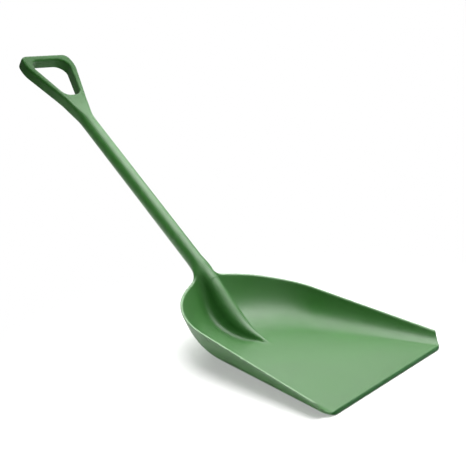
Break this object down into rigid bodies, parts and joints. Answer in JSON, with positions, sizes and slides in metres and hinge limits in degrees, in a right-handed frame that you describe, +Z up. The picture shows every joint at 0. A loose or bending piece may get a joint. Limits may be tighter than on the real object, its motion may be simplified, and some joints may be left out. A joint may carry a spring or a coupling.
{
  "type": "snow shovel",
  "caption": "Deep scoop snow shovel with raised sides and rounded back, a straight hollow shaft and a D-shaped hand grip.",
  "frame": {"origin": "on the blade's flat underside, on the plane of symmetry, 150 mm behind the front edge", "axes": "+Z up from the flat underside, +Y from the front edge towards the grip, X across the blade"},
  "size_m": [0.3922, 0.9431, 0.5728],
  "materials": {
    "blade": "satin moulded polypropylene, mid green, fine moulded grain",
    "shaft": "satin moulded polypropylene, mid green, fine moulded grain",
    "d_grip": "satin moulded polypropylene, mid green, fine moulded grain"
  },
  "bodies": {
    "root": {"blade": "blade", "shaft": "shaft", "d_grip": "d_grip"}
  },
  "joints": []
}
